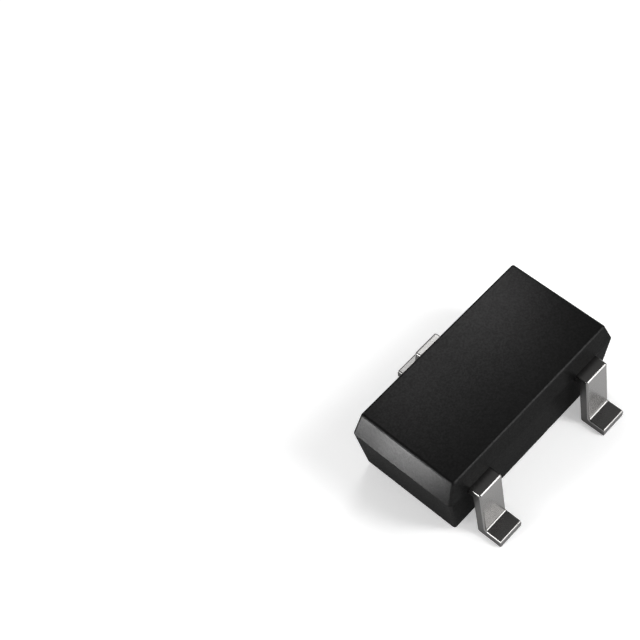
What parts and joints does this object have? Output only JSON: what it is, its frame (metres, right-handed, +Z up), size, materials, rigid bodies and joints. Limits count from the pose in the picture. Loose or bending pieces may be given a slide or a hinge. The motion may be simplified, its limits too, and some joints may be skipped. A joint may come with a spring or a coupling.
{
  "type": "mosfet",
  "caption": "Surface-mount MOSFET: moulded black body with drafted sides and gull-wing leads for gate, source and drain, holding a die on a paddle with bond wires.",
  "frame": {"origin": "on the board under the middle of the body, level with the undersides of the three feet", "axes": "+X along the body from the gate lead to the source lead, +Y to the side with the drain lead, +Z up from the board"},
  "size_m": [0.0028, 0.0024, 0.0012],
  "materials": {
    "moulding_compound": "satin",
    "tinned_lead": "satin",
    "solder": "satin",
    "silicon": "satin",
    "bond_wire": "satin"
  },
  "bodies": {
    "root": {"package_body": "moulding_compound", "gate_lead": "tinned_lead", "source_lead": "tinned_lead", "drain_lead": "tinned_lead", "die_attach_solder": "solder", "silicon_die": "silicon", "gate_bond_wire": "bond_wire", "source_bond_wire_1": "bond_wire", "source_bond_wire_2": "bond_wire"}
  },
  "joints": []
}
